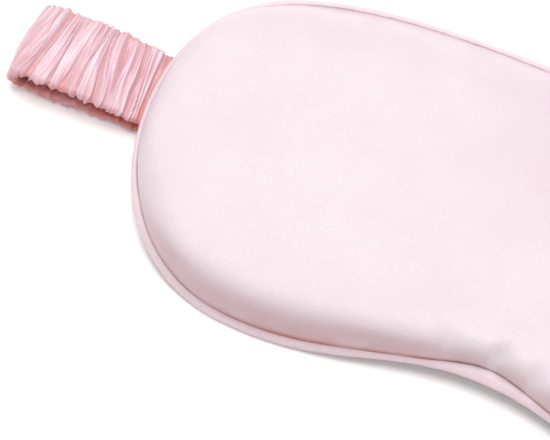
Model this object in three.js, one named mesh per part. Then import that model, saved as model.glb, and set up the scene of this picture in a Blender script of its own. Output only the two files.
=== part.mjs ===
// A padded satin sleep mask with a gathered elastic strap, lying face up on its folded strap.
// Millimetres. +X runs along the mask's width, +Y towards the forehead edge, +Z out of the front face.
// The origin is on the resting surface, under the middle of the mask.
import * as THREE from "three";

// Outline of the finished mask, outside the piping. The right half is described, the left mirrors it.
const HALF_WIDTH = 105;
const TOP_Y = 47.5; // forehead edge
const BOTTOM_Y = -47.5; // lowest point of each cheek lobe
const NOSE_Y = -35.9; // top of the nose arch
const SIDE_Y = -2.4; // height at which the mask is widest
const LOBE_X = 63.6; // where each cheek lobe is lowest
const BROW_HANDLE = 67; // length of the forehead curve's flat stretch
const TEMPLE_HANDLE = 39; // how far the side stays upright above its widest point
const CHEEK_HANDLE = 18.5; // the same, below its widest point
const LOBE_OUTER_HANDLE = 31.5;
const LOBE_INNER_HANDLE = 28;
const NOSE_HANDLE = 25.5;

// Cross-section of the padded body.
const PIPING_RADIUS = 1.2;
const PIPING_WALL = 0.45;
const CORD_RADIUS = 0.45;
const THREAD_RADIUS = 0.15;
const THREAD_INSET = 2.15; // the seam thread runs just inside the cord
const CLEARANCE = 0.3; // air between pieces that touch in the real object
const CORE_CLEARANCE = 0.4; // more of it round the padding, whose coarse ribs cut across the curves
const RIM_INSET = 2 * PIPING_RADIUS + CLEARANCE; // where the panels begin
const SEAM_HALF_GAP = 0.2; // half the air between the two panels at the rim
const FRONT_RISE = 7; // how far the front panel stands above the seam
const BACK_RISE = 1; // how far the back panel stands below it
const PANEL_THICKNESS = 0.5;
const BACK_THICKNESS = 0.4;
const LINING_THICKNESS = 0.4;
const EDGE_ROLL = 9; // width of the steep roll-off along the rim
const CROWN_SPAN = 46; // width over which the padding keeps rising gently
const EDGE_SHARE = 0.86; // how much of the rise happens in the roll-off
const DIP_FILL = 0.75; // share of the seam's dip towards the edges that thicker padding makes up

// How the seam line sits above the table: arched over the strap, down at the forehead and cheeks.
const SEAM_LOW = PIPING_RADIUS;
const SEAM_HIGH = 10.2;
const END_DROOP = 2.2;
const DROOP_START = 85;
const SEAM_HALF_HEIGHT = TOP_Y - PIPING_RADIUS;

// Strap: a gathered sleeve round a flat elastic, leaving each side, folding back and lying under the mask.
const STRAP_MID_Y = 0.9; // the strap's centre line under the middle of the mask
const STRAP_BOW = 0.0003; // it bows towards the cheeks by this times the square of the distance along
const SLEEVE_WIDTH = 21;
const SLEEVE_THICKNESS = 3.6;
const TAB_THICKNESS = 2.1; // pressed flat where it is sewn on
const ELASTIC_WIDTH = 17;
const ELASTIC_THICKNESS = 0.8;
const STRAP_REACH = 140; // half the distance between the two folds' outer faces
const UPPER_RUN_Z = 9.6; // centre of the run that leaves the mask, near the fold
const BACK_RUN_Z = SLEEVE_THICKNESS / 2;
const TAB_Z = 5.4;
const TAB_START = 100.5;
const TAB_END = 106;
const TAB_SPREAD = 11; // length over which the sleeve fills out after the tab
const RISE_X = 109; // where the run climbs from the tab to its full height
const FOLD_RADIUS = (UPPER_RUN_Z - BACK_RUN_Z) / 2;
const FOLD_X = STRAP_REACH - FOLD_RADIUS - SLEEVE_THICKNESS / 2;
const BEVEL_SHARE = 0.3; // how much of its thickness the sleeve's corners are bevelled by
const TACK = { length: 12, width: 1.6, height: 0.4, bevel: 0.1 };

// How finely curves are divided.
const RIBS = 48; // points round the outline
const RING_STEPS = [0, 0.035, 0.1, 0.22, 0.45, 0.8]; // shares of the way from the rim to the spine
const SPINE_SHARE = 0.6; // length of the spine as a share of the mask's width
const FOLD_STEPS = 8;
const RISE_STEPS = 8;
const BACK_STEPS = 8;

const SATIN = { color: 0xf8e2ea, roughness: 0.42, metalness: 0 };
const SLEEVE_SATIN = { color: 0xf3cbd4, roughness: 0.4, metalness: 0 };
const LINING = { color: 0x2a2729, roughness: 0.85, metalness: 0 };
const WADDING = { color: 0xf4f1ee, roughness: 0.95, metalness: 0 };
const COTTON_CORD = { color: 0xece6e2, roughness: 0.9, metalness: 0 };
const THREAD = { color: 0xefc9d4, roughness: 0.6, metalness: 0 };
const ELASTIC = { color: 0xf1ebe8, roughness: 0.75, metalness: 0 };

const mask = new THREE.Group();

function addPiece(name, geometry, finish) {
  const piece = new THREE.Mesh(geometry, new THREE.MeshStandardMaterial(finish));
  piece.name = name;
  mask.add(piece);
  return piece;
}

function geometryOf(points, triangles) {
  const geometry = new THREE.BufferGeometry().setFromPoints(points);
  geometry.setIndex(triangles);
  geometry.computeVertexNormals();
  return geometry;
}

// The mask's outline as one closed path, clockwise from the middle of the forehead edge.
function outlinePath() {
  const path = new THREE.Shape();
  path.moveTo(0, TOP_Y);
  path.bezierCurveTo(BROW_HANDLE, TOP_Y, HALF_WIDTH, SIDE_Y + TEMPLE_HANDLE, HALF_WIDTH, SIDE_Y);
  path.bezierCurveTo(
    HALF_WIDTH, SIDE_Y - CHEEK_HANDLE, LOBE_X + LOBE_OUTER_HANDLE, BOTTOM_Y, LOBE_X, BOTTOM_Y,
  );
  path.bezierCurveTo(LOBE_X - LOBE_INNER_HANDLE, BOTTOM_Y, NOSE_HANDLE, NOSE_Y, 0, NOSE_Y);
  path.bezierCurveTo(-NOSE_HANDLE, NOSE_Y, LOBE_INNER_HANDLE - LOBE_X, BOTTOM_Y, -LOBE_X, BOTTOM_Y);
  path.bezierCurveTo(
    -LOBE_X - LOBE_OUTER_HANDLE, BOTTOM_Y, -HALF_WIDTH, SIDE_Y - CHEEK_HANDLE, -HALF_WIDTH, SIDE_Y,
  );
  path.bezierCurveTo(-HALF_WIDTH, SIDE_Y + TEMPLE_HANDLE, -BROW_HANDLE, TOP_Y, 0, TOP_Y);
  return path;
}

const outline = outlinePath();

// Points round the outline, each with the direction that points into the mask.
const rim = Array.from({ length: RIBS }, (_, i) => {
  const along = outline.getTangent(i / RIBS);
  return { at: outline.getPoint(i / RIBS), inward: new THREE.Vector2(along.y, -along.x) };
});

function insetPoint(i, inset) {
  return rim[i].at.clone().addScaledVector(rim[i].inward, inset);
}

function distanceToRim(point) {
  let nearest = Infinity;
  rim.forEach(({ at }, i) => {
    const edge = new THREE.Line3(
      new THREE.Vector3(at.x, at.y, 0),
      new THREE.Vector3(rim[(i + 1) % RIBS].at.x, rim[(i + 1) % RIBS].at.y, 0),
    );
    const here = new THREE.Vector3(point.x, point.y, 0);
    const closest = edge.closestPointToPoint(here, true, new THREE.Vector3());
    nearest = Math.min(nearest, closest.distanceTo(here));
  });
  return nearest;
}

function seamHeight(x, y) {
  const across = Math.min(Math.abs(y) / SEAM_HALF_HEIGHT, 1) ** 3;
  const end = THREE.MathUtils.smoothstep(Math.abs(x), DROOP_START, HALF_WIDTH);
  return SEAM_LOW + (SEAM_HIGH - END_DROOP * end - SEAM_LOW) * (1 - across);
}

function quarterEllipse(share) {
  return Math.sqrt(1 - (1 - THREE.MathUtils.clamp(share, 0, 1)) ** 2);
}

// Share of the full rise reached at a distance in from the panel's rim.
function crown(distance) {
  return (
    EDGE_SHARE * quarterEllipse(distance / EDGE_ROLL) +
    (1 - EDGE_SHARE) * quarterEllipse(distance / CROWN_SPAN)
  );
}

// One surface of the padded body. offset sets it in from the outermost surface, and lift is its height
// above the seam at its own rim.
function bodySurface({ rise, lift, offset }) {
  const points = [];
  RING_STEPS.forEach((share) => {
    rim.forEach((_, i) => {
      const start = insetPoint(i, RIM_INSET + offset);
      const flat = start.lerp(new THREE.Vector2(rim[i].at.x * SPINE_SHARE, 0), share);
      const depth = distanceToRim(flat) - RIM_INSET - offset;
      const seam = seamHeight(flat.x, flat.y);
      const fill = rise > 0 ? DIP_FILL * (SEAM_HIGH - seam) : 0;
      const z = seam + lift + (rise + fill) * crown(depth);
      points.push(new THREE.Vector3(flat.x, flat.y, z));
    });
  });
  return points;
}

// Triangles of one body surface that face up, with the innermost ring closed by a flat cap.
function surfaceTriangles(points) {
  const triangles = [];
  for (let ring = 0; ring < RING_STEPS.length - 1; ring += 1) {
    for (let i = 0; i < RIBS; i += 1) {
      const next = (i + 1) % RIBS;
      const a = ring * RIBS + i;
      const b = ring * RIBS + next;
      const c = (ring + 1) * RIBS + next;
      const d = (ring + 1) * RIBS + i;
      triangles.push(c, b, a, d, c, a);
    }
  }
  const firstOfCap = (RING_STEPS.length - 1) * RIBS;
  const cap = points.slice(firstOfCap).map((p) => new THREE.Vector2(p.x, p.y));
  THREE.ShapeUtils.triangulateShape(cap, []).forEach(([a, b, c]) => {
    const clockwise = cap[b].clone().sub(cap[a]).cross(cap[c].clone().sub(cap[a])) < 0;
    const [second, third] = clockwise ? [c, b] : [b, c];
    triangles.push(firstOfCap + a, firstOfCap + second, firstOfCap + third);
  });
  return triangles;
}

// The solid between an upper and a lower body surface, joined round their rims.
function bodySolid(upper, lower) {
  const top = bodySurface(upper);
  const bottom = bodySurface(lower);
  const facingUp = surfaceTriangles(top);
  const facingDown = surfaceTriangles(bottom);
  const triangles = [...facingUp];
  for (let k = 0; k < facingDown.length; k += 3) {
    const [a, b, c] = facingDown.slice(k, k + 3).map((v) => v + top.length);
    triangles.push(a, c, b);
  }
  for (let i = 0; i < RIBS; i += 1) {
    const next = (i + 1) % RIBS;
    triangles.push(i, next, next + top.length, i, next + top.length, i + top.length);
  }
  return geometryOf([...top, ...bottom], triangles);
}

function buildBody() {
  const liningOffset = PANEL_THICKNESS + CLEARANCE;
  const coreOffset = liningOffset + LINING_THICKNESS + CORE_CLEARANCE;
  const coreBackRise = BACK_RISE - BACK_THICKNESS - CLEARANCE;
  const front = (offset) => ({ rise: FRONT_RISE - offset, lift: SEAM_HALF_GAP, offset });
  const back = (offset) => ({ rise: offset - BACK_RISE, lift: -SEAM_HALF_GAP, offset });
  addPiece("front_panel", bodySolid(front(0), front(PANEL_THICKNESS)), SATIN);
  addPiece(
    "blackout_lining",
    bodySolid(front(liningOffset), front(liningOffset + LINING_THICKNESS)),
    LINING,
  );
  addPiece(
    "padding_core",
    bodySolid(
      { rise: FRONT_RISE - coreOffset, lift: SEAM_HALF_GAP / 2, offset: coreOffset },
      { rise: -coreBackRise, lift: -SEAM_HALF_GAP / 2, offset: coreOffset },
    ),
    WADDING,
  );
  addPiece("back_panel", bodySolid(back(BACK_THICKNESS), back(0)), SATIN);
}

// A closed ring that follows the seam. profile holds [inwards, up] offsets from the piping's centre line.
function ringAlongSeam(profile, inset = PIPING_RADIUS) {
  const points = [];
  rim.forEach((_, i) => {
    const centre = insetPoint(i, inset);
    const z = seamHeight(centre.x, centre.y);
    profile.forEach(([inwards, up]) => {
      const flat = centre.clone().addScaledVector(rim[i].inward, inwards);
      points.push(new THREE.Vector3(flat.x, flat.y, z + up));
    });
  });
  const triangles = [];
  const count = profile.length;
  for (let i = 0; i < RIBS; i += 1) {
    for (let k = 0; k < count; k += 1) {
      const a = i * count + k;
      const b = i * count + ((k + 1) % count);
      const c = ((i + 1) % RIBS) * count + ((k + 1) % count);
      const d = ((i + 1) % RIBS) * count + k;
      triangles.push(a, c, b, a, d, c);
    }
  }
  return geometryOf(points, triangles);
}

function polygon(radius, sides) {
  return Array.from({ length: sides }, (_, k) => {
    const angle = (k / sides) * 2 * Math.PI;
    return [radius * Math.cos(angle), radius * Math.sin(angle)];
  });
}

// A C-shaped section, open towards the mask, where the strip's two edges go into the seam.
function pipingSection() {
  const outer = polygon(PIPING_RADIUS, 8).slice(1);
  const inner = polygon(PIPING_RADIUS - PIPING_WALL, 8).slice(1);
  return [...outer, ...inner.reverse()];
}

function buildPiping() {
  addPiece("piping_cover", ringAlongSeam(pipingSection()), SATIN);
  addPiece("piping_cord", ringAlongSeam(polygon(CORD_RADIUS, 6)), COTTON_CORD);
  addPiece("seam_thread", ringAlongSeam(polygon(THREAD_RADIUS, 4), THREAD_INSET), THREAD);
}

// A flat section with bevelled corners, as [across, out] offsets from the strap's centre line.
function flatSection(width, thickness, bevel) {
  const w = width / 2;
  const t = thickness / 2;
  return [
    [w, t - bevel], [w - bevel, t], [bevel - w, t], [-w, t - bevel],
    [-w, bevel - t], [bevel - w, -t], [w - bevel, -t], [w, bevel - t],
  ];
}

// Stations of a side run, from the tab to the end of the fold, on the +X side.
function sideStations() {
  const rise = new THREE.CubicBezierCurve(
    new THREE.Vector2(TAB_END, TAB_Z),
    new THREE.Vector2(RISE_X, TAB_Z),
    new THREE.Vector2(RISE_X, UPPER_RUN_Z),
    new THREE.Vector2(FOLD_X, UPPER_RUN_Z),
  );
  const fold = new THREE.EllipseCurve(
    FOLD_X, UPPER_RUN_Z - FOLD_RADIUS, FOLD_RADIUS, FOLD_RADIUS, Math.PI / 2, -Math.PI / 2, true,
  );
  const stations = [{ at: new THREE.Vector2(TAB_START, TAB_Z), along: new THREE.Vector2(1, 0) }];
  [[rise, RISE_STEPS, 0], [fold, FOLD_STEPS, 1]].forEach(([curve, steps, first]) => {
    for (let k = first; k <= steps; k += 1) {
      stations.push({ at: curve.getPoint(k / steps), along: curve.getTangent(k / steps) });
    }
  });
  return stations.map((station) => {
    const filled = THREE.MathUtils.smoothstep(station.at.x, TAB_END, TAB_END + TAB_SPREAD);
    const thickness = THREE.MathUtils.lerp(TAB_THICKNESS, SLEEVE_THICKNESS, filled);
    return { ...station, thickness };
  });
}

function backStations() {
  const end = FOLD_X - CLEARANCE;
  return Array.from({ length: BACK_STEPS + 1 }, (_, k) => ({
    at: new THREE.Vector2(THREE.MathUtils.lerp(-end, end, k / BACK_STEPS), BACK_RUN_Z),
    along: new THREE.Vector2(1, 0),
    thickness: SLEEVE_THICKNESS,
  }));
}

function strapCentreY(x) {
  return STRAP_MID_Y - STRAP_BOW * x * x;
}

// Rings of points along a strap run. side is -1 for the left, which mirrors the right.
function strapRings(stations, sectionOf, side) {
  return stations.map((station) => {
    const out = new THREE.Vector2(-station.along.y, station.along.x);
    const ring = sectionOf(station).map(([across, outwards]) => {
      const flat = station.at.clone().addScaledVector(out, outwards);
      return new THREE.Vector3(side * flat.x, strapCentreY(station.at.x) + across, flat.y);
    });
    return side < 0 ? ring.reverse() : ring;
  });
}

function sideTriangles(rings, firstPoint, inwards) {
  const triangles = [];
  const count = rings[0].length;
  for (let s = 0; s < rings.length - 1; s += 1) {
    for (let k = 0; k < count; k += 1) {
      const a = firstPoint + s * count + k;
      const b = firstPoint + s * count + ((k + 1) % count);
      const c = b + count;
      const d = a + count;
      triangles.push(...(inwards ? [a, d, c, a, c, b] : [a, b, c, a, c, d]));
    }
  }
  return triangles;
}

// A solid band through its rings.
function bandGeometry(rings) {
  const count = rings[0].length;
  const last = (rings.length - 1) * count;
  const triangles = sideTriangles(rings, 0, false);
  for (let k = 1; k < count - 1; k += 1) {
    triangles.push(0, k + 1, k, last, last + k, last + k + 1);
  }
  return geometryOf(rings.flat(), triangles);
}

// A tube with walls between outer and inner rings, open at both ends.
function sleeveGeometry(outer, inner) {
  const count = outer[0].length;
  const innerStart = outer.length * count;
  const last = (outer.length - 1) * count;
  const triangles = [...sideTriangles(outer, 0, false), ...sideTriangles(inner, innerStart, true)];
  for (let k = 0; k < count; k += 1) {
    const next = (k + 1) % count;
    triangles.push(k, innerStart + k, innerStart + next, k, innerStart + next, next);
    triangles.push(last + k, last + next, innerStart + last + next);
    triangles.push(last + k, innerStart + last + next, innerStart + last + k);
  }
  return geometryOf([...outer.flat(), ...inner.flat()], triangles);
}

function buildStrapRun(name, stations, side) {
  const cavityWidth = ELASTIC_WIDTH + 2 * CLEARANCE;
  const cavityThickness = ELASTIC_THICKNESS + 2 * CLEARANCE;
  const outer = ({ thickness }) => flatSection(SLEEVE_WIDTH, thickness, BEVEL_SHARE * thickness);
  const cavity = () => flatSection(cavityWidth, cavityThickness, CLEARANCE);
  const band = () => flatSection(ELASTIC_WIDTH, ELASTIC_THICKNESS, CLEARANCE / 2);
  const rings = (sectionOf) => strapRings(stations, sectionOf, side);
  addPiece(`strap_sleeve_${name}`, sleeveGeometry(rings(outer), rings(cavity)), SLEEVE_SATIN);
  addPiece(`strap_elastic_${name}`, bandGeometry(rings(band)), ELASTIC);
}

// The close row of stitches between a strap end and the back of the mask.
function buildTack(name, side) {
  const z = TAB_Z + TAB_THICKNESS / 2 + CLEARANCE + TACK.height / 2;
  const stations = [0, TACK.width].map((x) => ({
    at: new THREE.Vector2(TAB_START + x, z),
    along: new THREE.Vector2(1, 0),
  }));
  const section = () => flatSection(TACK.length, TACK.height, TACK.bevel);
  addPiece(`strap_tack_${name}`, bandGeometry(strapRings(stations, section, side)), THREAD);
}

buildBody();
buildPiping();
[["left", -1], ["right", 1]].forEach(([name, side]) => {
  buildStrapRun(name, sideStations(), side);
  buildTack(name, side);
});
buildStrapRun("back", backStations(), 1);

export default mask;
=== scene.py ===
"""A padded satin sleep mask with a gathered elastic strap, lying face up on its folded strap."""

import math

import bpy
import numpy as np
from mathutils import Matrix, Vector


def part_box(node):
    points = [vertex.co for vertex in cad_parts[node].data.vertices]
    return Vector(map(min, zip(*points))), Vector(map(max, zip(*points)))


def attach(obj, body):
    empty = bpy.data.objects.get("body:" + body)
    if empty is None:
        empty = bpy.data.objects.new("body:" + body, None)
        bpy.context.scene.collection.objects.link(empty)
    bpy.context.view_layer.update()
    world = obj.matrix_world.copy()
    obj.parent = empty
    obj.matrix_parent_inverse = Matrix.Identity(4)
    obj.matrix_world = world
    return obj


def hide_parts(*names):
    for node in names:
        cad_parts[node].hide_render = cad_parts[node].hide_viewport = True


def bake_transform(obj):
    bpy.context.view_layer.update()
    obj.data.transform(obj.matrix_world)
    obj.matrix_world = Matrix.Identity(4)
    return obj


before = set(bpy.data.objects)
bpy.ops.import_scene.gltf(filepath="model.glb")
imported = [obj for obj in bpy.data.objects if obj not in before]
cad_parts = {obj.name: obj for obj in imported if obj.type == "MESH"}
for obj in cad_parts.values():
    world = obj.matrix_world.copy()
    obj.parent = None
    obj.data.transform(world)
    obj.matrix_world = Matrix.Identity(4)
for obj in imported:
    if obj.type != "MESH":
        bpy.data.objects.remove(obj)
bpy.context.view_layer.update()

MM = 0.001
piping_low, piping_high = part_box("piping_cover")
front_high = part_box("front_panel")[1]
side_low, side_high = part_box("strap_sleeve_right")
back_low, back_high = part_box("strap_sleeve_back")

# Outline of the mask outside its piping, in metres. The handles shape the curves between its extremes.
HALF_WIDTH = piping_high.x
TOP_Y = piping_high.y
BOTTOM_Y = piping_low.y
NOSE_Y = -35.9 * MM
SIDE_Y = -2.4 * MM
LOBE_X = 63.6 * MM
BROW_HANDLE = 67 * MM
TEMPLE_HANDLE = 39 * MM
CHEEK_HANDLE = 18.5 * MM
LOBE_OUTER_HANDLE = 31.5 * MM
LOBE_INNER_HANDLE = 28 * MM
NOSE_HANDLE = 25.5 * MM

# The seam's height above the table, as in the CAD model.
PIPING_RADIUS = 1.2 * MM
SEAM_LOW = PIPING_RADIUS
SEAM_HIGH = 10.2 * MM
END_DROOP = 2.2 * MM
DROOP_START = 85 * MM
SEAM_HALF_HEIGHT = TOP_Y - PIPING_RADIUS

# The padded body. Offsets go inwards from the outer skin.
FRONT_RISE = front_high.z - SEAM_HIGH
BACK_RISE = 1.0 * MM
SEAM_HALF_GAP = 0.15 * MM
PANEL_THICKNESS = 0.45 * MM
LINING_OFFSET = 0.75 * MM
LINING_THICKNESS = 0.35 * MM
CORE_OFFSET = 1.4 * MM
BACK_PANEL_THICKNESS = 0.4 * MM
CORE_BACK_SHARE = 0.3  # how far the wadding follows the back panel down
SPINE_SHARE = 0.6
CURVE_STEPS = 400
OUTLINE_POINTS = 720
COLUMNS = 200
RINGS = 46
RING_CROWDING = 2.2  # rings lie closer together towards the rim

# The front's profile, by distance in from its rim.
EDGE_ROLL = 7.8 * MM
CROWN_SPAN = 46 * MM
EDGE_SHARE = 0.86  # share of the rise that lies within the roll-off
FOREHEAD_ROLL = 20 * MM
FOREHEAD_FROM, FOREHEAD_TO = 0.25 * TOP_Y, 0.8 * TOP_Y  # where the gentler forehead profile takes over
DIP_FILL = 0.85  # share of the seam's dip towards the edges that thicker padding makes up
LIP_HEIGHT = 0.3 * MM  # the front panel's turned edge stands up a little beside the piping
LIP_INSET = 0.55 * MM
LIP_WIDTH = 0.4 * MM
UNEVEN_ROLL = 0.34  # how much the roll-off's width varies along the edge
UNEVEN_SIZE = 15 * MM
UNEVEN_SEED = 3
STEEPER_AT_SIDE = 0.6  # how much steeper the roll-off is at the two ends
STEEPER_ABOVE = (-34 * MM, -12 * MM)
STEEPER_BEYOND = (0.75 * HALF_WIDTH, 0.95 * HALF_WIDTH)
SETTLED_AT = 10 * MM  # dents and lumps fade out towards the rim from here
LUMP_HEIGHT = 0.3 * MM
BACK_LUMP_HEIGHT = 0.12 * MM
BACK_LUMP_RATE = 1.3
BACK_LUMP_SHIFT = (10 * MM, -20 * MM)
BRIDGE_DIP = 1.8 * MM  # the padding is thinner over the nose
BRIDGE_AT = (4 * MM, 24 * MM)
BROW_DIP = 0.8 * MM  # a soft slanting dent across the brow
BROW_CENTRE = (-14 * MM, 18 * MM)
BROW_SLOPE = (0.78, 0.62)
BROW_WIDTH = 8 * MM
BROW_REACH = (2 * MM, 26 * MM)
TUCK_DEPTH = 0.08  # share of its height that the panel loses in a tuck of strength 1
TUCK_START = (-6 * MM, -2 * MM)  # a tuck fades in over this stretch, just before its base
TUCK_NECK, TUCK_FLARE = 0.6, 0.9  # a tuck's width at its base, and how much wider it gets

# Painted shade on the satin, from 0 on a ridge to 1 in a fold and above 1 in a groove: on its roll-off, over
# the nose and beside the piping.
ROLL_SHADE_WIDTH = 6.5 * MM
SIDE_SHADE_WIDTH = 2.6 * MM
SIDE_SHADE = 0.35
SIDE_SHADE_ABOVE = (-42 * MM, -22 * MM)
FOREHEAD_SHADE_WIDTH = 8 * MM
FOREHEAD_SHADE = 0.75
FOREHEAD_SHADE_ABOVE = (0.5 * TOP_Y, 0.85 * TOP_Y)
TUCK_LIGHT = 0.6  # share of the roll-off's painted shade that a tuck of strength 1 is without
NOSE_SHADE = 0.5  # painted shade over the nose
NOSE_SHADE_AT = (-6 * MM, 26 * MM)
NOSE_SHADE_ABOVE = (-16 * MM, 14 * MM)
# Painted shade in the groove between the front panel's rim and the piping.
RIM_SHADE = 0.6
RIM_WIDTH = 0.15 * MM
GLOW_SHADE = 0.2  # painted shade, reddened as by light bounced in the groove, reaching up the roll-off
GLOW_WIDTH = 2.6 * MM
FAR_GROOVE_SHADE = 0.2  # share of the rim's painted shade that is left away from the nose
GROOVE_DARK_BELOW = (0.7 * NOSE_Y, 0.95 * NOSE_Y)
GROOVE_DARK_WITHIN = (40 * MM, 72 * MM)

# The strap, as in the CAD model.
STRAP_BOW = 0.3  # per metre
SLEEVE_HALF_WIDTH = 10.5 * MM
STRAP_MID_Y = back_high.y - SLEEVE_HALF_WIDTH
SLEEVE_HALF_THICKNESS = (back_high.z - back_low.z) / 2
TAB_HALF_THICKNESS = 1.05 * MM
TAB_Z = 5.4 * MM
TAB_START = side_low.x
TAB_END = 106 * MM
RISE_X = 109 * MM
BACK_RUN_Z = SLEEVE_HALF_THICKNESS
UPPER_RUN_Z = side_high.z - SLEEVE_HALF_THICKNESS
FOLD_RADIUS = (UPPER_RUN_Z - BACK_RUN_Z) / 2
FOLD_X = side_high.x - FOLD_RADIUS - SLEEVE_HALF_THICKNESS


def smoothstep(value, low, high):
    share = np.clip((np.asarray(value, float) - low) / (high - low), 0, 1)
    return share * share * (3 - 2 * share)


def bump(value, centre, width):
    return np.exp(-(((value - centre) / width) ** 2))


def bezier(a, b, c, d, t):
    t = np.asarray(t)[:, None]
    a, b, c, d = (np.array(p) for p in (a, b, c, d))
    return (1 - t) ** 3 * a + 3 * (1 - t) ** 2 * t * b + 3 * (1 - t) * t**2 * c + t**3 * d


def right_half():
    """Points down the right half of the outline, from the forehead to the nose arch."""
    t = np.linspace(0, 1, CURVE_STEPS)
    brow = bezier(
        (0, TOP_Y), (BROW_HANDLE, TOP_Y), (HALF_WIDTH, SIDE_Y + TEMPLE_HANDLE), (HALF_WIDTH, SIDE_Y), t
    )
    cheek = bezier(
        (HALF_WIDTH, SIDE_Y),
        (HALF_WIDTH, SIDE_Y - CHEEK_HANDLE),
        (LOBE_X + LOBE_OUTER_HANDLE, BOTTOM_Y),
        (LOBE_X, BOTTOM_Y),
        t,
    )
    nose = bezier(
        (LOBE_X, BOTTOM_Y), (LOBE_X - LOBE_INNER_HANDLE, BOTTOM_Y), (NOSE_HANDLE, NOSE_Y), (0, NOSE_Y), t
    )
    return brow, cheek, nose


def outline_columns():
    """Matching outline points above and below: column k's two points have the same x, left to right."""
    brow, cheek, nose = right_half()
    x = -HALF_WIDTH * np.cos(np.pi * np.arange(COLUMNS + 1) / COLUMNS)
    under = np.vstack([cheek, nose])[::-1]
    top = np.interp(np.abs(x), brow[:, 0], brow[:, 1])
    bottom = np.interp(np.abs(x), under[:, 0], under[:, 1])
    return np.column_stack([x, top]), np.column_stack([x, bottom])


def closed_outline(count):
    """Evenly spaced points clockwise round the outline, their inward normals and how far round they lie."""
    half = np.vstack(right_half())
    whole = np.vstack([half, half[::-1] * (-1, 1)])
    along = np.concatenate([[0], np.cumsum(np.linalg.norm(np.diff(whole, axis=0), axis=1))])
    at = np.linspace(0, along[-1], count, endpoint=False)
    points = np.column_stack([np.interp(at, along, whole[:, k]) for k in range(2)])
    ahead = np.roll(points, -1, axis=0) - np.roll(points, 1, axis=0)
    ahead /= np.linalg.norm(ahead, axis=1)[:, None]
    return points, np.column_stack([ahead[:, 1], -ahead[:, 0]]), at


OUTLINE = closed_outline(OUTLINE_POINTS)[0]


def distance_to_outline(points):
    """Distance to the two edges of the outline that meet at its nearest corner."""
    squares = (OUTLINE**2).sum(axis=1)[None, :] - 2 * points @ OUTLINE.T
    corner = squares.argmin(axis=1)
    nearest = np.full(len(points), np.inf)
    for first in (corner - 1, corner):
        a = OUTLINE[first]
        edge = OUTLINE[(first + 1) % len(OUTLINE)] - a
        share = np.clip(((points - a) * edge).sum(axis=1) / (edge**2).sum(axis=1), 0, 1)
        nearest = np.minimum(nearest, np.linalg.norm(points - a - share[:, None] * edge, axis=1))
    return nearest


def seam_height(x, y):
    across = np.minimum(np.abs(y) / SEAM_HALF_HEIGHT, 1) ** 3
    end = smoothstep(np.abs(x), DROOP_START, HALF_WIDTH)
    return SEAM_LOW + (SEAM_HIGH - END_DROOP * end - SEAM_LOW) * (1 - across)


def rounded(share):
    """Rises steeply from 0 and eases into 1 with no break in its curvature."""
    return np.sqrt(1 - (1 - np.clip(share, 0, 1)) ** 3)


def crown(distance, y):
    """Share of the full rise at a distance in from the rim: a steep roll-off, gentler at the forehead."""
    steep = EDGE_SHARE * rounded(distance / EDGE_ROLL) + (1 - EDGE_SHARE) * rounded(distance / CROWN_SPAN)
    gentle = 1 - (1 - np.clip(distance / FOREHEAD_ROLL, 0, 1)) ** 2
    return steep + (gentle - steep) * smoothstep(y, FOREHEAD_FROM, FOREHEAD_TO)


# How wide the piping shows round the edge: it is narrow at the two ends and either side of the nose,
# and pushed out flat at the nose arch.
BAND_WIDTH = 1.75 * MM
BAND_AT_SIDE = 1.25 * MM
BAND_AT_FOREHEAD = 1.7 * MM
BAND_BESIDE_NOSE = 1.1 * MM
BAND_AT_NOSE = 3.4 * MM
FOREHEAD_BAND = (0.35 * TOP_Y, 0.95 * TOP_Y)
SIDE_BAND = (0.9 * HALF_WIDTH, 0.99 * HALF_WIDTH)
BESIDE_NOSE = (22 * MM, 11 * MM)
NOSE_BAND = (-2 * MM, 9.5 * MM)
UNDERSIDE_BAND = (NOSE_Y, 0.5 * NOSE_Y)


def band_width(x, y):
    forehead = smoothstep(y, *FOREHEAD_BAND)
    side = smoothstep(np.abs(x), *SIDE_BAND) * (1 - forehead)
    underside = 1 - smoothstep(y, *UNDERSIDE_BAND)
    beside = bump(np.abs(x), *BESIDE_NOSE) * underside
    nose = bump(x, *NOSE_BAND) * underside
    width = BAND_WIDTH + (BAND_AT_FOREHEAD - BAND_WIDTH) * forehead
    width = width + (BAND_AT_SIDE - BAND_WIDTH) * side
    width = width + (BAND_BESIDE_NOSE - BAND_WIDTH) * beside
    return width + (BAND_AT_NOSE - BAND_WIDTH) * nose


def groove_shade(x, y):
    """How much painted shade the groove beside the piping gets: most under the padding either side of the
    nose.
    """
    low, full = GROOVE_DARK_BELOW
    under = smoothstep(-y, -low, -full) * (1 - smoothstep(np.abs(x), *GROOVE_DARK_WITHIN))
    return FAR_GROOVE_SHADE + (1 - FAR_GROOVE_SHADE) * under


# Waves across the padding: radians per metre along x and y, and a phase.
LUMP_WAVES = [(61, 38, 0.4), (-47, 66, 1.9), (92, -21, 3.3), (25, 101, 5.1), (118, 77, 2.2)]


def lumps(x, y):
    """Very gentle unevenness of the padding, from about -1 to 1."""
    total = sum(np.sin(a * x + b * y + phase) for a, b, phase in LUMP_WAVES)
    return total / len(LUMP_WAVES)


def tuck(x, y, base, direction, length, width, strength):
    """The strength of a short valley that starts at the seam and fades out inwards."""
    dx, dy = x - base[0], y - base[1]
    unit = np.array(direction) / np.hypot(*direction)
    along = dx * unit[0] + dy * unit[1]
    across = dx * unit[1] - dy * unit[0]
    spread = width * (TUCK_NECK + TUCK_FLARE * np.clip(along / length, 0, 1))
    fade = np.clip(1 - along / length, 0, 1) * smoothstep(along, *TUCK_START)
    return strength * np.exp(-((across / spread) ** 2)) * fade


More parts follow.
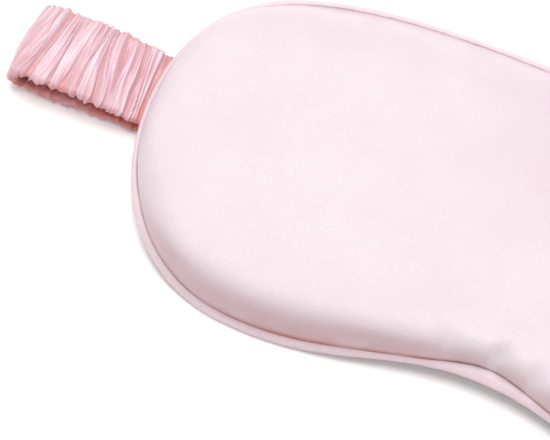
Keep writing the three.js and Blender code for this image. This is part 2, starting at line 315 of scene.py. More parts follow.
# Where the front panel is drawn in by its seam: base, direction, length, width, strength.
TUCKS = [
    ((-1.6 * MM, NOSE_Y + 4 * MM), (0.4, 0.92), 12 * MM, 1.6 * MM, 1.9),
    ((-13 * MM, NOSE_Y + 2 * MM), (-0.3, 1), 10 * MM, 1.8 * MM, 0.5),
    ((9 * MM, NOSE_Y + 3 * MM), (0.2, 1), 12 * MM, 2.2 * MM, 0.9),
    ((-64 * MM, TOP_Y - 8 * MM), (0.35, -1), 14 * MM, 1.7 * MM, 0.9),
    ((-40 * MM, TOP_Y - 3 * MM), (0.5, -1), 15 * MM, 1.5 * MM, 1.0),
    ((-35 * MM, TOP_Y - 2 * MM), (0.25, -1), 12 * MM, 1.3 * MM, 0.7),
    ((-14 * MM, TOP_Y - 1.5 * MM), (0.3, -1), 13 * MM, 1.6 * MM, 0.9),
    ((12 * MM, TOP_Y - 1.5 * MM), (-0.3, -1), 12 * MM, 1.5 * MM, 0.8),
    ((46 * MM, TOP_Y - 3.5 * MM), (-0.4, -1), 13 * MM, 1.5 * MM, 0.8),
    ((78 * MM, TOP_Y - 14 * MM), (-0.6, -1), 13 * MM, 1.8 * MM, 0.9),
    ((92 * MM, -30 * MM), (-0.9, 0.5), 12 * MM, 1.8 * MM, 0.8),
    ((40 * MM, BOTTOM_Y + 5 * MM), (-0.1, 1), 11 * MM, 1.8 * MM, 0.6),
]


def gathered(x, y):
    """How strongly the seam draws in the front panel at each point."""
    return sum(tuck(x, y, *each) for each in TUCKS)


def fill_of_edge(x, y):
    """How much further in each point seems to lie, where the padding fills the edge unevenly."""
    stretch = 1 + UNEVEN_ROLL * soft_noise(x / UNEVEN_SIZE, y / UNEVEN_SIZE, UNEVEN_SEED)
    side = smoothstep(y, *STEEPER_ABOVE) * smoothstep(np.abs(x), *STEEPER_BEYOND)
    stretch = stretch + STEEPER_AT_SIDE * side
    return stretch / (1 + gathered(x, y))


def front_detail(x, y):
    """Gentle dents of the front panel, added to its height."""
    run, rise = BROW_SLOPE
    off_line = (x - BROW_CENTRE[0]) * rise - (y - BROW_CENTRE[1]) * run
    reach = bump(x * run + y * rise, *BROW_REACH)
    dents = BRIDGE_DIP * bump(x, *BRIDGE_AT) + BROW_DIP * bump(off_line, 0, BROW_WIDTH) * reach
    return LUMP_HEIGHT * lumps(x, y) - dents


def back_detail(x, y):
    """The back panel is lumpy too, in a pattern of its own."""
    shift_x, shift_y = BACK_LUMP_SHIFT
    return BACK_LUMP_HEIGHT * lumps(BACK_LUMP_RATE * x + shift_x, y + shift_y)


def body_grid(offset, rise, lift, detail):
    """Points of one surface of the body, in rings from its rim to a spine along its middle."""
    top, bottom = outline_columns()
    loop = np.vstack([top, bottom[-2:0:-1]])
    spine = np.column_stack([loop[:, 0] * SPINE_SHARE, np.zeros(len(loop))])
    tangent = np.roll(loop, -1, axis=0) - np.roll(loop, 1, axis=0)
    tangent /= np.linalg.norm(tangent, axis=1)[:, None]
    inward = np.column_stack([tangent[:, 1], -tangent[:, 0]])
    inset = band_width(loop[:, 0], loop[:, 1]) + offset
    start = loop + inward * inset[:, None]
    rows = []
    for ring in range(RINGS + 1):
        share = (ring / RINGS) ** RING_CROWDING
        flat = start + (spine - start) * share
        depth = np.maximum(distance_to_outline(flat) - band_width(flat[:, 0], flat[:, 1]) - offset, 0)
        if ring == 0:
            depth = np.zeros(len(flat))
        if rise > 0:
            depth = depth * fill_of_edge(flat[:, 0], flat[:, 1])
        settled = smoothstep(depth, 0, SETTLED_AT)
        seam = seam_height(flat[:, 0], flat[:, 1])
        fill = DIP_FILL * (SEAM_HIGH - seam) if rise > 0 else 0
        drawn = 1 - TUCK_DEPTH * gathered(flat[:, 0], flat[:, 1]) if rise > 0 else 1
        z = seam + lift + (rise + fill) * crown(depth, flat[:, 1]) * drawn
        z = z + settled * detail(flat[:, 0], flat[:, 1])
        z = z + (LIP_HEIGHT if rise > 0 else 0) * bump(depth, LIP_INSET, LIP_WIDTH)
        rows.append(np.column_stack([flat, z]))
    return rows


def grid_faces(first, rows):
    """Quads of one body surface, facing up. The last row is the spine, which both halves share."""
    count = len(rows[0])
    faces = []
    for ring in range(RINGS):
        for a in range(count):
            b = (a + 1) % count
            low = first + ring * count
            if ring < RINGS - 1:
                inner = (low + count + b, low + count + a)
            else:
                spine = first + RINGS * count
                fold = [k if k <= COLUMNS else 2 * COLUMNS - k for k in (b, a)]
                inner = (spine + fold[0], spine + fold[1])
            face = [low + a, inner[1], inner[0], low + b]
            faces.append([v for i, v in enumerate(face) if v != face[i - 1]])
    return faces


def body_shell(name, upper, lower):
    """A closed skin between two body surfaces."""
    vertices, faces, starts = [], [], []
    for surface in (upper, lower):
        rows = body_grid(**surface)
        starts.append(len(vertices))
        for row in rows[:-1]:
            vertices.extend(row)
        vertices.extend(rows[-1][: COLUMNS + 1])
        made = grid_faces(starts[-1], rows)
        faces.extend(made if surface is upper else [face[::-1] for face in made])
    count = 2 * COLUMNS
    for a in range(count):
        b = (a + 1) % count
        faces.append([a, b, starts[1] + b, starts[1] + a])
    piece = mesh_piece(name, vertices, faces)
    points = np.array(vertices)
    depth = distance_to_outline(points[:, :2]) - band_width(points[:, 0], points[:, 1])
    set_painted_shade_depth(piece, satin_painted_shade(points[:, 0], points[:, 1], depth))
    return piece


def satin_painted_shade(x, y, depth):
    """Painted shade on the satin: on its roll-off, over the nose and in the groove."""
    above = smoothstep(y, *SIDE_SHADE_ABOVE)
    forehead = smoothstep(y, *FOREHEAD_SHADE_ABOVE)
    width = ROLL_SHADE_WIDTH + (SIDE_SHADE_WIDTH - ROLL_SHADE_WIDTH) * above
    width = width + (FOREHEAD_SHADE_WIDTH - SIDE_SHADE_WIDTH) * forehead
    strength = 1 + (SIDE_SHADE - 1) * above + (FOREHEAD_SHADE - SIDE_SHADE) * forehead
    open_tucks = 1 - np.clip(TUCK_LIGHT * gathered(x, y), 0, 1)
    roll = strength * (1 - smoothstep(depth, 0, width)) * open_tucks
    shade_over_nose = NOSE_SHADE * bump(x, *NOSE_SHADE_AT) * smoothstep(y, *NOSE_SHADE_ABOVE)
    rim = RIM_SHADE * (1 - smoothstep(depth, 0, RIM_WIDTH))
    rim = rim + GLOW_SHADE * (1 - smoothstep(depth, 0, GLOW_WIDTH))
    return np.maximum(roll, shade_over_nose) + rim * groove_shade(x, y)


def mesh_piece(name, vertices, faces, smooth=True):
    mesh = bpy.data.meshes.new(name)
    mesh.from_pydata([tuple(map(float, v)) for v in vertices], [], [list(map(int, f)) for f in faces])
    mesh.validate()
    mesh.polygons.foreach_set("use_smooth", [smooth] * len(mesh.polygons))
    mesh.update()
    piece = bpy.data.objects.new(name, mesh)
    bpy.context.scene.collection.objects.link(piece)
    return piece


def set_painted_shade_depth(piece, values):
    """Stores how much painted shade each point gets: 0 on a ridge, 1 in a fold and more in a groove."""
    layer = piece.data.attributes.new("painted_shade_depth", "FLOAT", "POINT")
    layer.data.foreach_set("value", np.asarray(values, np.float32))


def build_body():
    front = {"rise": FRONT_RISE, "lift": SEAM_HALF_GAP, "detail": front_detail}
    back = {"rise": -BACK_RISE, "lift": -SEAM_HALF_GAP, "detail": back_detail}

    def inside(surface, offset):
        keep = abs(surface["rise"]) - offset
        return {**surface, "offset": offset, "rise": math.copysign(keep, surface["rise"])}

    return {
        "front_panel_satin": body_shell(
            "front_panel_satin", inside(front, 0), inside(front, PANEL_THICKNESS)
        ),
        "blackout_sheet": body_shell(
            "blackout_sheet",
            inside(front, LINING_OFFSET),
            inside(front, LINING_OFFSET + LINING_THICKNESS),
        ),
        "wadding_core": body_shell(
            "wadding_core",
            inside(front, CORE_OFFSET),
            {**back, "offset": CORE_OFFSET, "rise": -CORE_BACK_SHARE * BACK_RISE, "lift": 0},
        ),
        "back_panel_satin": body_shell(
            "back_panel_satin", inside(back, BACK_PANEL_THICKNESS), inside(back, 0)
        ),
    }


PIPING_SIDES = 36
PIPING_STEPS = 1500
NARROWEST_PIPING = 1.25 * MM
UNDER_RIM = 0.25 * MM  # how far the piping reaches in under the panel's rim
SAG_WAVES = [(0.09 * MM, 4.5 * MM, 0.3, 5), (0.05 * MM, 1.4 * MM, 0.7, 6)]  # height, length, row, seed
FLANGE_GROOVE = 0.3 * MM
FLANGE_SHOWS = (1.8 * MM, 2.3 * MM)  # widths of the piping between which the groove comes in
GROOVE_AT = 0.2  # where it runs, from -1 at the outside of the band to 1 at the inside
GROOVE_WIDTH = 0.17
GROOVE_WAVE = (6 * MM, 0.5, 7)  # length, row, seed
# Painted shade on the piping: in its flange groove, where it meets the panel and where it turns under.
FLANGE_SHADE = 0.35
INNER_SHADE = 1.5  # painted shade where the piping meets the panel
INNER_FALLOFF = 8
OUTER_SHADE = 1.1  # painted shade where the piping turns under
OUTER_FALLOFF = 14


def build_piping():
    """The covered cord round the edge. Where the band shows wide, a faint groove parts it from its flange."""
    points, inward, along = closed_outline(PIPING_STEPS)
    width = np.maximum(band_width(points[:, 0], points[:, 1]), NARROWEST_PIPING) + UNDER_RIM
    sag = sum(height * soft_noise(along / length, row, seed) for height, length, row, seed in SAG_WAVES)
    length, row, seed = GROOVE_WAVE
    groove = smoothstep(width, *FLANGE_SHOWS) * (0.7 + soft_noise(along / length, row, seed))
    vertices, faces, depth = [], [], []
    for k in range(PIPING_SIDES):
        angle = 2 * math.pi * k / PIPING_SIDES
        across = -math.cos(angle)  # -1 outside, 1 inside
        valley = bump(across, GROOVE_AT, GROOVE_WIDTH) * (math.sin(angle) > 0)
        up = PIPING_RADIUS * math.sin(angle) - valley * groove * FLANGE_GROOVE
        out = points + inward * (width / 2 * (1 + across) + sag * math.cos(angle))[:, None]
        z = seam_height(out[:, 0], out[:, 1]) + up + sag * math.sin(angle)
        vertices.append(np.column_stack([out, z]))
        # Painted shade: dark where the piping turns under, by the panel and in the flange groove.
        outer = OUTER_SHADE * max(0.0, -across) ** OUTER_FALLOFF
        inner = INNER_SHADE * max(0.0, across) ** INNER_FALLOFF * groove_shade(*points.T)
        depth.append(FLANGE_SHADE * valley * groove + outer + inner)
    for i in range(PIPING_STEPS):
        j = (i + 1) % PIPING_STEPS
        for k in range(PIPING_SIDES):
            low = k * PIPING_STEPS
            high = (k + 1) % PIPING_SIDES * PIPING_STEPS
            faces.append([low + i, low + j, high + j, high + i])
    piece = mesh_piece("edge_piping", np.vstack(vertices), faces)
    set_painted_shade_depth(piece, np.concatenate(depth))
    return piece


PATH_STEPS = 300
TAB_STEPS = 60


def side_path(steps):
    """Centre line of a side run in x and z, from the tab round the fold, on the +X side."""
    t = np.linspace(0, 1, PATH_STEPS)
    tab = np.column_stack([np.linspace(TAB_START, TAB_END, TAB_STEPS), np.full(TAB_STEPS, TAB_Z)])
    rise = bezier((TAB_END, TAB_Z), (RISE_X, TAB_Z), (RISE_X, UPPER_RUN_Z), (FOLD_X, UPPER_RUN_Z), t)
    turn = math.pi / 2 - math.pi * t
    fold = np.column_stack(
        [FOLD_X + FOLD_RADIUS * np.cos(turn), UPPER_RUN_Z - FOLD_RADIUS + FOLD_RADIUS * np.sin(turn)]
    )
    path = np.vstack([tab, rise[1:], fold[1:]])
    along = np.concatenate([[0], np.cumsum(np.linalg.norm(np.diff(path, axis=0), axis=1))])
    at = np.linspace(0, along[-1], steps)
    return np.column_stack([np.interp(at, along, path[:, k]) for k in range(2)]), at


SIDE_STEPS = 380
BACK_STEPS = 900
SIDE_LENGTH = side_path(SIDE_STEPS)[1][-1]
BACK_LENGTH = 2 * FOLD_X
STRAP_LENGTH = 2 * SIDE_LENGTH + BACK_LENGTH

PLEAT_PITCH = 2.2 * MM
PLEAT_RISE = 1.75 * MM
PLEAT_LEAN = 1.15 * MM  # how far the crests fall over to one side
CREST_SHAPE = 0.8  # below 1, the sides of a crest are hollow
# Broad waves of the cloth: size, how many to a pitch, change across the strap.
PLEAT_WANDER = (0.9, 0.4, 0.45)  # how far pleats stray along the strap, in pitches
BILLOW = (1.3, 0.7, 0.4)
CREST_LEAN = (5, 0.5, 0.3)
# Each layer of pleats: how many to a pitch, change across the strap, sharpness, share of the height.
MAIN_PLEATS = (1.0, 0.22, 3.0, 0.56)
MINOR_PLEATS = (2.1, 0.4, 2.6, 0.28)
FINE_PLEATS = (4.7, 1.1, 2.0, 0.1)
BILLOW_SHARE = 0.2
BILLOW_BASE = 0.08
SLEEVE_CORE = 0.62 * MM  # half the thickness at the bottom of the folds
SLEEVE_WALL = 0.2 * MM
SLEEVE_CLEARANCE = 0.05 * MM  # above the table
SLEEVE_OPENS = 11 * MM  # the sleeve comes to its full thickness this far past its tab
MEAN_PLEAT = 0.6  # share of their rise by which the pleats widen the strap's long edges
RUFFLE_HEIGHT, RUFFLE_LENGTH = 0.5 * MM, 2.3 * MM  # waves of the long edges in the strap's plane
FLUTTER_HEIGHT, FLUTTER_LENGTH = 1.1 * MM, 3.1 * MM  # and out of it
SLANT_AT_MASK = -0.12  # how much the pleats slant across the strap
SLANT_CHANGE = 0.4  # how much that changes on the way to the fold
SLANT_FROM = 10 * MM
FOLD_SHADE = 1.32  # painted shade at the bottom of a fold on the outer face
INSIDE_SHADE = 1.5  # extra painted shade on the face turned in towards the other run
SEAM_SHADE = 0.75  # extra painted shade where the sleeve comes out from under the mask's edge
SEAM_SHADE_SPAN = (HALF_WIDTH - 0.5 * MM, HALF_WIDTH + 2.4 * MM)
OUTER_SEED = 11
INNER_SEED = 47


def soft_noise(x, y, seed):
    """Smooth noise of about -0.7 to 0.7, with features about one unit apart."""
    size = 256
    turns = np.random.default_rng(seed).uniform(0, 2 * math.pi, (size, size))
    x, y = np.broadcast_arrays(np.asarray(x, float), np.asarray(y, float))
    left, low = np.floor(x).astype(int), np.floor(y).astype(int)
    share_x, share_y = x - left, y - low
    ease_x, ease_y = (t * t * t * (t * (6 * t - 15) + 10) for t in (share_x, share_y))
    total = np.zeros(x.shape)
    for i in (0, 1):
        for j in (0, 1):
            turn = turns[(left + i) % size, (low + j) % size]
            slope = np.cos(turn) * (share_x - i) + np.sin(turn) * (share_y - j)
            total += slope * (ease_x if i else 1 - ease_x) * (ease_y if j else 1 - ease_y)
    return total


def crests(values, sharpness):
    """Turns smooth noise into crests where it passes through zero, from 0 to 1."""
    return 1 - np.clip(np.abs(values) * sharpness, 0, 1) ** CREST_SHAPE


def broad_wave(u, across, wave, seed):
    size, rate, change = wave
    return size * soft_noise(rate * u, change * across, seed)


def pleat_layer(u, across, layer, seed):
    rate, change, sharpness, share = layer
    return share * crests(soft_noise(rate * u, change * across, seed), sharpness)


def pleats(along, across, slant, seed):
    """Height of the gathered cloth, from 0 in a fold to 1 on a crest, and how its crests lean."""
    u = (along + slant * across * SLEEVE_HALF_WIDTH) / PLEAT_PITCH
    u = u + broad_wave(u, across, PLEAT_WANDER, seed + 1)
    billow = np.clip(0.5 + broad_wave(u, across, BILLOW, seed + 4), 0, 1)
    height = pleat_layer(u, across, MAIN_PLEATS, seed)
    height = height + pleat_layer(u, across, MINOR_PLEATS, seed + 2) * (0.3 + 0.7 * billow)
    height = height + pleat_layer(u, across, FINE_PLEATS, seed + 3)
    height = height + BILLOW_SHARE * billow - BILLOW_BASE
    lean = np.clip(broad_wave(u, across, CREST_LEAN, seed + 5), -1, 1)
    return np.clip(height, 0, 1), lean


SECTION_FLAT = 34
SECTION_END = 9


def sleeve_section():
    """A flat section with round ends: across, bulge across, up, and the share of the inner face's folds."""
    flat = np.linspace(-1, 1, SECTION_FLAT)
    turn = np.linspace(math.pi / 2, -math.pi / 2, SECTION_END + 2)[1:-1]
    outer = [(a, 0, 1, 0) for a in flat]
    right = [(1, math.cos(t), math.sin(t), (1 - math.sin(t)) / 2) for t in turn]
    inner = [(a, 0, -1, 1) for a in flat[::-1]]
    left = [(-1, -math.cos(t), -math.sin(t), (1 + math.sin(t)) / 2) for t in turn]
    return np.array(outer + right + inner + left)


def strap_centre_y(x):
    return STRAP_MID_Y - STRAP_BOW * x * x


def sleeve_slant(along):
    """The pleats slant one way near the mask and the other way near the fold."""
    from_end = np.minimum(along, STRAP_LENGTH - along)
    slant = SLANT_AT_MASK + SLANT_CHANGE * smoothstep(from_end, SLANT_FROM, SIDE_LENGTH)
    return slant * np.where(along < STRAP_LENGTH / 2, 1, -1)


def path_frame(path):
    tangent = np.gradient(path, axis=0)
    tangent /= np.linalg.norm(tangent, axis=1)[:, None]
    return tangent, np.column_stack([-tangent[:, 1], tangent[:, 0]])


def sleeve_skins(path, along, half_thickness, side):
    """Points of the sleeve's outer and inner skins, ring by ring, and how much painted shade they get."""
    across, bulge, up, inner = sleeve_section().T
    tangent, normal = path_frame(path)
    s = along[:, None] + np.zeros(len(across))
    a = across[None, :] + np.zeros((len(along), 1))
    slant = sleeve_slant(s)
    outer_height, outer_lean = pleats(s, a, slant, OUTER_SEED)
    inner_height, inner_lean = pleats(s, a, -slant, INNER_SEED)
    height = outer_height * (1 - inner) + inner_height * inner
    lean = (outer_lean * (1 - inner) + inner_lean * inner) * height * PLEAT_LEAN
    free = ((half_thickness - SLEEVE_CORE) / (SLEEVE_HALF_THICKNESS - SLEEVE_CORE))[:, None]
    rise = PLEAT_RISE * np.sqrt(np.clip(free, 0, 1)) * height
    edge = SLEEVE_HALF_WIDTH - SLEEVE_CORE - PLEAT_RISE * MEAN_PLEAT
    ruffle = RUFFLE_HEIGHT * soft_noise(s / RUFFLE_LENGTH, 2 * inner, OUTER_SEED + 9)
    flutter = FLUTTER_HEIGHT * soft_noise(s / FLUTTER_LENGTH, np.sign(a), INNER_SEED + 9) * np.abs(a) ** 5
    skins = []
    for inset in (0, SLEEVE_WALL):
        out = SLEEVE_CORE + rise - inset
        wide = across * (edge + np.abs(across) ** 6 * ruffle) + bulge * out
        lift = out * up + flutter * (1 - inner) * free
        x = path[:, :1] + normal[:, :1] * lift + tangent[:, :1] * lean * free
        z = path[:, 1:] + normal[:, 1:] * lift + tangent[:, 1:] * lean * free
        y = strap_centre_y(path[:, :1]) + wide
        skins.append(np.stack([side * x, y, np.maximum(z, SLEEVE_CLEARANCE + inset)], axis=2))
    # Painted shade: darker at the bottom of each fold, on the inner face and where the sleeve comes out from
    # under the mask's edge.
    starts_at_tab = half_thickness[0] < SLEEVE_HALF_THICKNESS
    at_seam = starts_at_tab * (1 - smoothstep(path[:, :1], *SEAM_SHADE_SPAN))
    depth = FOLD_SHADE * (1 - height) + SEAM_SHADE * at_seam + INSIDE_SHADE * inner
    return skins, depth


def ring_faces(rings, count, first, flip):
    faces = []
    for i in range(rings - 1):
        for k in range(count):
            n = (k + 1) % count
            low, high = first + i * count, first + (i + 1) * count
            face = [low + k, low + n, high + n, high + k]
            faces.append(face[::-1] if flip else face)
    return faces


def sleeve_mesh(name, path, along, half_thickness, side=1):
    """A gathered tube of cloth along a path in x and z. side is -1 to mirror the path in x."""
    (outer, inner), depth = sleeve_skins(path, along, half_thickness, side)
    rings, count = outer.shape[:2]
    total = rings * count
    flip = side < 0
    faces = ring_faces(rings, count, 0, flip) + ring_faces(rings, count, total, not flip)
    last = (rings - 1) * count
    for k in range(count):
        n = (k + 1) % count
        start = [n, k, total + k, total + n]
        end = [last + k, last + n, total + last + n, total + last + k]
        faces.extend(end_face[::-1] if flip else end_face for end_face in (start, end))
    piece = mesh_piece(name, np.concatenate([outer, inner]).reshape(-1, 3), faces)
    set_painted_shade_depth(piece, np.concatenate([depth, depth]).reshape(-1))
    return piece


def side_thickness(path):
    filled = smoothstep(path[:, 0], TAB_END, TAB_END + SLEEVE_OPENS)
    return TAB_HALF_THICKNESS + (SLEEVE_HALF_THICKNESS - TAB_HALF_THICKNESS) * filled


def build_sleeve():
    path, along = side_path(SIDE_STEPS)
    half = side_thickness(path)
    left = sleeve_mesh("gathered_sleeve_left", path, along, half, side=-1)
    right = sleeve_mesh("gathered_sleeve_right", path, STRAP_LENGTH - along, half)
    x = np.linspace(-FOLD_X, FOLD_X, BACK_STEPS)
    back_path = np.column_stack([x, np.full(BACK_STEPS, BACK_RUN_Z)])
    back = sleeve_mesh(
        "gathered_sleeve_back",
        back_path[::-1],
        SIDE_LENGTH + (x[::-1] + FOLD_X),
        np.full(BACK_STEPS, SLEEVE_HALF_THICKNESS),
    )
    return left, back, right


ELASTIC_HALF_WIDTH = 8.2 * MM
ELASTIC_HALF_THICKNESS = 0.28 * MM
ELASTIC_RIBS = 9
ELASTIC_RIB_HEIGHT = 0.05 * MM
ELASTIC_STEPS = 90


def elastic_mesh(name, path, side=1):
    """A flat woven elastic with ribs along it, inside the sleeve."""
    normal = path_frame(path)[1]
    across = np.linspace(-1, 1, ELASTIC_RIBS * 4 + 1)
    ribs = ELASTIC_RIB_HEIGHT * np.cos(across * math.pi * ELASTIC_RIBS)
    outer = np.column_stack([across * ELASTIC_HALF_WIDTH, ELASTIC_HALF_THICKNESS + ribs])
    section = np.vstack([outer, outer[::-1] * (1, -1)])
    count = len(section)
    points = []
    for (x, z), (nx, nz) in zip(path, normal):
        for wide, up in section:
            points.append((side * (x + nx * up), strap_centre_y(x) + wide, z + nz * up))
    faces = ring_faces(len(path), count, 0, side < 0)
    last = (len(path) - 1) * count
    ends = [list(range(count))[::-1], [last + k for k in range(count)]]
    faces.extend(end if side > 0 else end[::-1] for end in ends)
    return mesh_piece(name, points, faces)


def build_elastic():
    path = side_path(ELASTIC_STEPS)[0]
    x = np.linspace(-FOLD_X, FOLD_X, ELASTIC_STEPS)
    back_path = np.column_stack([x, np.full(ELASTIC_STEPS, BACK_RUN_Z)])
    return (
        elastic_mesh("woven_elastic_left", path, side=-1),
        elastic_mesh("woven_elastic_back", back_path),
        elastic_mesh("woven_elastic_right", path),
    )


class Graph:
    """A short way to write a material's nodes."""

    def __init__(self, name):
        self.material = bpy.data.materials.new(name)
        self.material.use_nodes = True
        self.tree = self.material.node_tree
        self.shader = self.tree.nodes["Principled BSDF"]

    def node(self, kind, inputs=(), **settings):
        made = self.tree.nodes.new(kind)
        for key, value in settings.items():
            setattr(made, key, value)
        for key, value in dict(inputs).items():
            if isinstance(value, bpy.types.NodeSocket):
                self.tree.links.new(value, made.inputs[key])
            else:
                made.inputs[key].default_value = value
        return made

    def shade(self, **values):
        for key, value in values.items():
            socket = self.shader.inputs[key.replace("_", " ")]
            if isinstance(value, bpy.types.NodeSocket):
                self.tree.links.new(value, socket)
            else:
                socket.default_value = value

    def place(self):
        return self.node("ShaderNodeTexCoord").outputs["Object"]

    def stretched(self, scale, turn=0.0):
        """Object coordinates, turned about Z and scaled differently along and across."""
        return self.node(
            "ShaderNodeMapping",
            {"Vector": self.place(), "Rotation": (0, 0, turn), "Scale": scale},
        ).outputs["Vector"]

    def noise(self, vector, scale, detail=3.0, roughness=0.5):
        return self.node(
            "ShaderNodeTexNoise",
            {"Vector": vector, "Scale": scale, "Detail": detail, "Roughness": roughness},
        ).outputs["Fac"]

    def ramp(self, value, low, high, to_low=0.0, to_high=1.0):
        return self.node(
            "ShaderNodeMapRange",
            {"Value": value, "From Min": low, "From Max": high, "To Min": to_low, "To Max": to_high},
        ).outputs["Result"]

    def blend(self, share, a, b):
        mixed = self.node("ShaderNodeMix", data_type="RGBA")
        for key, value in (("Factor", share), ("A", a), ("B", b)):
            socket = next(s for s in mixed.inputs if s.name == key and s.enabled)
            if isinstance(value, bpy.types.NodeSocket):
                self.tree.links.new(value, socket)
            else:
                socket.default_value = value
        return next(s for s in mixed.outputs if s.enabled)

    def bump(self, height, distance, strength, normal=None):
        inputs = {"Height": height, "Distance": distance, "Strength": strength}
        if normal is not None:
            inputs["Normal"] = normal
        return self.node("ShaderNodeBump", inputs).outputs["Normal"]


# The satin's patterns. Scales are in features per metre; a bump has a distance in metres and a strength.
CLOUD_SCALE = 70
GRAIN_SCALE = 2600
FLOAT_SCALE = (900, 5200, 900)
SLUB_SCALE = (60, 1500, 60)
WEAVE_TURN = 0.35
FLOAT_BUMP = (0.00006, 0.35)
GRAIN_BUMP = (0.00003, 0.25)
SLUB_BUMP = (0.00005, 0.2)
MOTTLE = 0.5  # how far the satin's cloudiness goes towards its shade colour
GRAIN = 0.22  # how far its fine grain goes towards its fold colour
MIDDLE_NOISE = (0.35, 0.65)
# Painted-shade depths between which each darker copy of the colour takes over from the one before it.
SHADE_COMES_IN = (0.12, 0.6)
FOLD_COMES_IN = (0.45, 1.0)
DEEP_COMES_IN = (1.05, 1.5)

THREAD_STRETCH = 8  # threads of plain cloth are this many times as long as wide
CLOTH_BUMP = (0.0001, 0.5)


def satin(name, ridge, shade, fold, deepest_shade, sheen=0.2, roughness=0.48, gloss=0.3):
    """Satin: long floats one way, a soft sheen, faint cloudiness, and painted shade that darkens it in folds,
    grooves and roll-offs.
    """
    g = Graph(name)
    cloud = g.noise(g.place(), CLOUD_SCALE, detail=6, roughness=0.62)
    depth = g.node("ShaderNodeAttribute", attribute_name="painted_shade_depth").outputs["Fac"]
    # Painted shade: the colour darkens from the ridge colour through ever darker copies as the stored depth
    # rises.
    colour = g.blend(g.ramp(depth, *SHADE_COMES_IN), ridge, shade)
    colour = g.blend(g.ramp(depth, *FOLD_COMES_IN), colour, fold)
    colour = g.blend(g.ramp(depth, *DEEP_COMES_IN), colour, deepest_shade)
    colour = g.blend(g.ramp(cloud, *MIDDLE_NOISE, 0.0, MOTTLE), colour, shade)
    floats = g.noise(g.stretched(FLOAT_SCALE, WEAVE_TURN), 1.0, 2)
    grain = g.noise(g.place(), GRAIN_SCALE, 2)
    colour = g.blend(g.ramp(grain, *MIDDLE_NOISE, 0.0, GRAIN), colour, fold)
    slub = g.noise(g.stretched(SLUB_SCALE, WEAVE_TURN), 1.0, 2)
    normal = g.bump(floats, *FLOAT_BUMP)
    normal = g.bump(grain, *GRAIN_BUMP, normal)
    normal = g.bump(slub, *SLUB_BUMP, normal)
    g.shade(
        Base_Color=colour,
        Roughness=g.ramp(floats, 0.2, 0.8, roughness - 0.06, roughness + 0.08),
        Normal=normal,
        Sheen_Weight=sheen,
        Sheen_Roughness=0.45,
        Sheen_Tint=(1.0, 0.93, 0.95, 1),
        Specular_IOR_Level=gloss,
        Anisotropic=0.35,
    )
    return g.material


def plain_cloth(name, light, dark, thread_scale, roughness=0.9):
    """Matt cloth or wadding with crossing threads."""
    g = Graph(name)
    fine = THREAD_STRETCH * thread_scale
    warp = g.noise(g.stretched((thread_scale, fine, thread_scale)), 1.0, 2)
    weft = g.noise(g.stretched((fine, thread_scale, thread_scale)), 1.0, 2)
    colour = g.blend(g.ramp(warp, 0.3, 0.7), light, dark)
    normal = g.bump(warp, *CLOTH_BUMP)
    normal = g.bump(weft, *CLOTH_BUMP, normal)
    g.shade(Base_Color=colour, Roughness=roughness, Normal=normal, Sheen_Weight=0.3)
    return g.material


def paint(piece, material):
    piece.data.materials.clear()
    piece.data.materials.append(material)


TABLE_HALF_WIDTH = 3.0
TABLE_CLOUD_SCALE = 3
WORLD_COLOUR = (1, 0.95, 0.96, 1)
WORLD_STRENGTH = 0.8
KEY_FROM = (-0.22, 0.38, 1.69)
KEY_SIZE = 1.25
KEY_POWER = 27.5
KEY_COLOUR = (1.0, 0.99, 0.985)


def build_stage():
    """A plain white table, a pale sky and a broad soft light high above it."""
    half = TABLE_HALF_WIDTH
    corners = [(-half, -half, 0), (half, -half, 0), (half, half, 0), (-half, half, 0)]
    floor = mesh_piece("table_top", corners, [(0, 1, 2, 3)], smooth=False)
    g = Graph("table_white")
    g.shade(
        Base_Color=g.blend(
            g.noise(g.place(), TABLE_CLOUD_SCALE), (0.955, 0.955, 0.955, 1), (0.965, 0.965, 0.963, 1)
        ),
        Roughness=0.8,
        Specular_IOR_Level=0.1,
    )
    paint(floor, g.material)
    world = bpy.data.worlds.new("studio")
    bpy.context.scene.world = world
    world.use_nodes = True
    sky = world.node_tree.nodes["Background"]
    sky.inputs["Color"].default_value = WORLD_COLOUR
    sky.inputs["Strength"].default_value = WORLD_STRENGTH
    add_light("key", KEY_FROM, KEY_SIZE, KEY_POWER, KEY_COLOUR)


def add_light(name, direction, size, power, colour):
    lamp = bpy.data.lights.new(name, "AREA")
    lamp.shape = "DISK"
    lamp.size = size
    lamp.energy = power
    lamp.color = colour
    light = bpy.data.objects.new(name, lamp)
    light.location = Vector(direction)
    light.rotation_mode = "QUATERNION"
    light.rotation_quaternion = (-Vector(direction)).to_track_quat("-Z", "Y")
    bpy.context.scene.collection.objects.link(light)


# The view: from above the cheek edge, turned so that the mask runs down to the right.
VIEW_AZIMUTH = math.radians(25.8)
VIEW_ELEVATION = math.radians(70)
VIEW_DISTANCE = 0.6585
LENS_MM = 180
SENSOR_MM = 36
NEAREST_SEEN = 0.05
AIM = Vector((-0.606 * HALF_WIDTH, 0.438 * BOTTOM_Y, 0.46 * front_high.z))


def build_camera():
    data = bpy.data.cameras.new("camera")
    data.lens = LENS_MM
    data.sensor_width = SENSOR_MM
    data.clip_start = NEAREST_SEEN
    camera = bpy.data.objects.new("camera", data)
    flat = math.cos(VIEW_ELEVATION)
    back = Vector(
        (math.sin(VIEW_AZIMUTH) * flat, -math.cos(VIEW_AZIMUTH) * flat, math.sin(VIEW_ELEVATION))
    )
    camera.location = AIM + back * VIEW_DISTANCE
    camera.rotation_mode = "QUATERNION"
    camera.rotation_quaternion = (-back).to_track_quat("-Z", "Y")
    bpy.context.scene.collection.objects.link(camera)
    bpy.context.scene.camera = camera


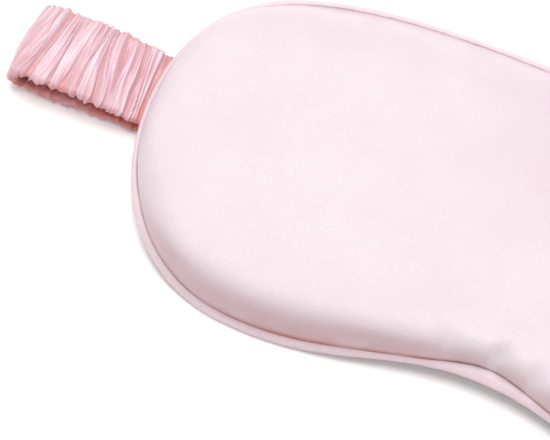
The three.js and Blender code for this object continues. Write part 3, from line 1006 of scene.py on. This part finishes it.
def make_cloths():
    """Every material, by what it is used for."""
    return {
        # Each satin is one colour with darker copies. Ridge is the satin lit. Shade, fold and the last,
        # deepest colour are painted shade for roll-offs, folds and grooves.
        "shell": satin(
            "pale_satin",
            ridge=(0.6, 0.548, 0.578, 1),
            shade=(0.565, 0.49, 0.525, 1),
            fold=(0.47, 0.325, 0.35, 1),
            deepest_shade=(0.42, 0.15, 0.11, 1),
            sheen=0.12,
        ),
        "piping": satin(
            "piping_satin",
            ridge=(0.65, 0.545, 0.585, 1),
            shade=(0.61, 0.495, 0.54, 1),
            fold=(0.5, 0.34, 0.37, 1),
            deepest_shade=(0.5, 0.1, 0.05, 1),
            sheen=0.12,
        ),
        "sleeve": satin(
            "gathered_satin",
            ridge=(0.76, 0.64, 0.705, 1),
            shade=(0.63, 0.455, 0.515, 1),
            fold=(0.5, 0.255, 0.265, 1),
            deepest_shade=(0.52, 0.12, 0.085, 1),
            roughness=0.3,
            gloss=0.35,
        ),
        "wadding": plain_cloth("wadding_white", (0.9, 0.89, 0.87, 1), (0.82, 0.81, 0.79, 1), 300),
        "blackout": plain_cloth("blackout_black", (0.03, 0.028, 0.03, 1), (0.015, 0.014, 0.016, 1), 900),
        "cotton": plain_cloth("cotton_cord", (0.85, 0.82, 0.78, 1), (0.75, 0.72, 0.68, 1), 1200),
        "thread": plain_cloth("pink_thread", (0.85, 0.62, 0.69, 1), (0.76, 0.52, 0.6, 1), 2500, 0.6),
        "webbing": plain_cloth("elastic_webbing", (0.88, 0.85, 0.84, 1), (0.78, 0.75, 0.74, 1), 700, 0.7),
    }


def dress_panels(cloths):
    """The two panels, the lining and the wadding."""
    body = build_body()
    panels = (
        ("front_panel_satin", "front_panel", "shell", "satin_shell"),
        ("back_panel_satin", "back_panel", "shell", "satin_shell"),
        ("blackout_sheet", "blackout_lining", "blackout", "blackout_fabric"),
        ("wadding_core", "padding_core", "wadding", "wadding"),
    )
    for name, node, cloth, slot in panels:
        piece = body[name]
        paint(piece, cloths[cloth])
        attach(piece, "mask")
        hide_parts(node)


def dress_edge(cloths):
    """The piping, and the small parts that keep the shape they have in the CAD model."""
    piping = build_piping()
    paint(piping, cloths["piping"])
    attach(piping, "mask")
    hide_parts("piping_cover")
    kept = (
        ("piping_cord", "cotton"),
        ("seam_thread", "thread"),
        ("strap_tack_left", "thread"),
        ("strap_tack_right", "thread"),
    )
    for node, cloth in kept:
        paint(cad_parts[node], cloths[cloth])


def carry_strap(piece, end):
    """The back run rides on the strap. A side run keeps its place, with its transform baked in."""
    if end == "back":
        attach(piece, "strap_back")
        return
    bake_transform(piece)


def dress_strap(cloths):
    """The gathered sleeve and the elastic in it, each in three runs."""
    layers = (
        (build_sleeve(), "strap_sleeve", "sleeve", "gathered_satin"),
        (build_elastic(), "strap_elastic", "webbing", "elastic_webbing"),
    )
    for pieces, node, cloth, slot in layers:
        for piece, end in zip(pieces, ("left", "back", "right")):
            paint(piece, cloths[cloth])
            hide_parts(f"{node}_{end}")
            carry_strap(piece, end)


bpy.context.scene.view_settings.view_transform = "Standard"
build_camera()
build_stage()
all_cloths = make_cloths()
dress_panels(all_cloths)
dress_edge(all_cloths)
dress_strap(all_cloths)
